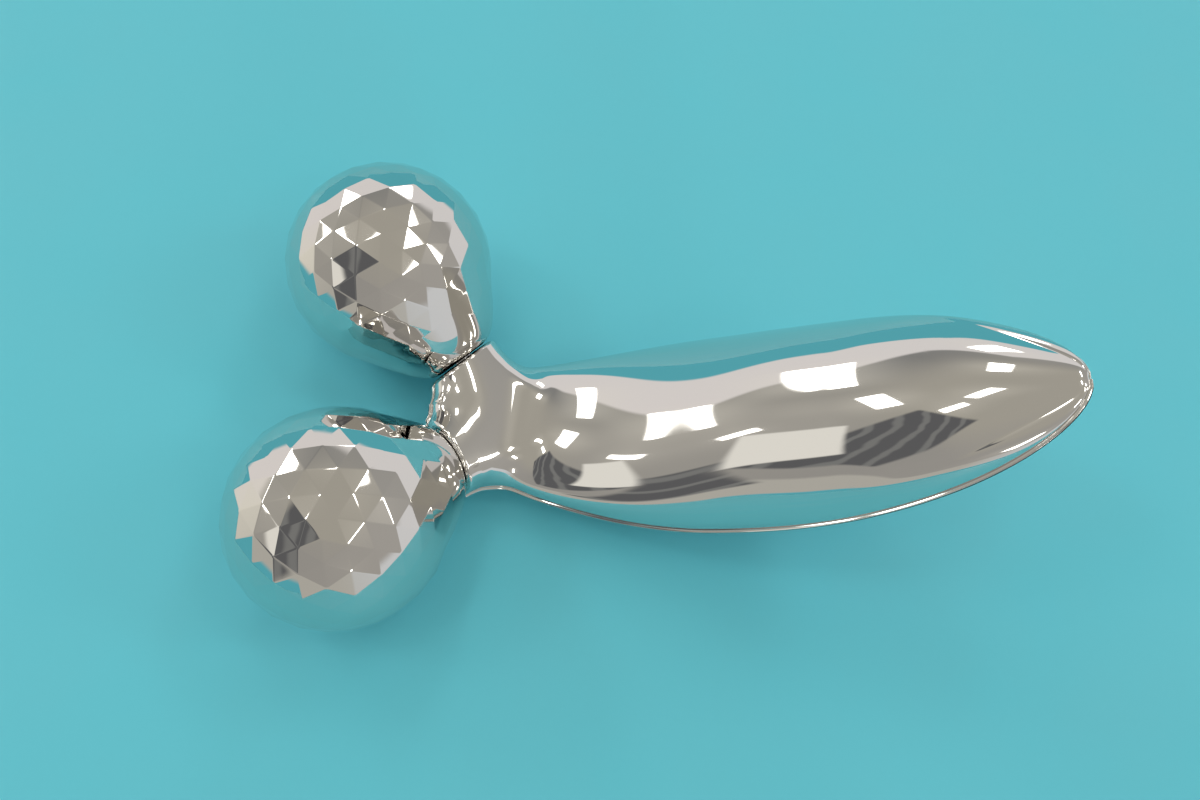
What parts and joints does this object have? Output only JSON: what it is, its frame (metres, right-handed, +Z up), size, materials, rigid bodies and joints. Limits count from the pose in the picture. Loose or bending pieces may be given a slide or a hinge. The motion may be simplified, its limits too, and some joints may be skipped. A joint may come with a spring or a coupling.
{
  "type": "facial toning device",
  "caption": "Chrome facial toning roller: faceted balls spin freely on the angled arms of a forked, curved, leaf-shaped handle and pinch the skin between them.",
  "frame": {"origin": "centre of the bounding box on the table that the device rests on", "axes": "+X from the balls towards the raised tip of the handle, +Y towards the left ball, +Z up"},
  "size_m": [0.1382, 0.0917, 0.0622],
  "materials": {
    "handle_chrome": "mirror-polished bright chrome",
    "ball_chrome": "mirror-polished bright chrome, flat facets",
    "seal_rubber": "matt black",
    "dark_window": "clear gloss over a dark print",
    "solar_cell": "dark glossy film",
    "foam": "soft open foam",
    "board_green": "satin solder mask",
    "chip_black": "matt black",
    "capacitor_brown": "gloss sleeve",
    "inner_plastic": "natural white",
    "screw_steel": "bright zinc",
    "cast_alloy": "as cast",
    "axle_steel": "ground bright",
    "core_plastic": "matt dark grey"
  },
  "bodies": {
    "handle": {"upper_shell": "handle_chrome", "lower_shell": "handle_chrome", "shell_seal": "seal_rubber", "window_lens": "dark_window", "window_gasket": "seal_rubber", "solar_cell": "solar_cell", "cell_pad": "foam", "circuit_board": "board_green", "control_chip": "chip_black", "capacitor": "capacitor_brown", "board_tray": "inner_plastic", "board_screws": "screw_steel", "axle_yoke": "cast_alloy", "yoke_screws": "screw_steel", "left_axle": "axle_steel", "right_axle": "axle_steel", "left_axle_seal": "seal_rubber", "right_axle_seal": "seal_rubber", "left_retaining_ring": "axle_steel", "right_retaining_ring": "axle_steel", "left_thrust_washer": "inner_plastic", "right_thrust_washer": "inner_plastic"},
    "left_roller": {"left_ball_shell": "ball_chrome", "left_ball_collar": "ball_chrome", "left_ball_core": "core_plastic", "left_bush": "inner_plastic"},
    "right_roller": {"right_ball_shell": "ball_chrome", "right_ball_collar": "ball_chrome", "right_ball_core": "core_plastic", "right_bush": "inner_plastic"}
  },
  "joints": [
    {"name": "left_roller_spin", "type": "hinge", "parent": "handle", "child": "left_roller", "pos_m": [-0.04868, 0.0259, 0.02], "axis": [0.6924, -0.6293, -0.3528], "continuous": true},
    {"name": "right_roller_spin", "type": "hinge", "parent": "handle", "child": "right_roller", "pos_m": [-0.04868, -0.0259, 0.02], "axis": [0.6924, 0.6293, -0.3528], "continuous": true}
  ]
}
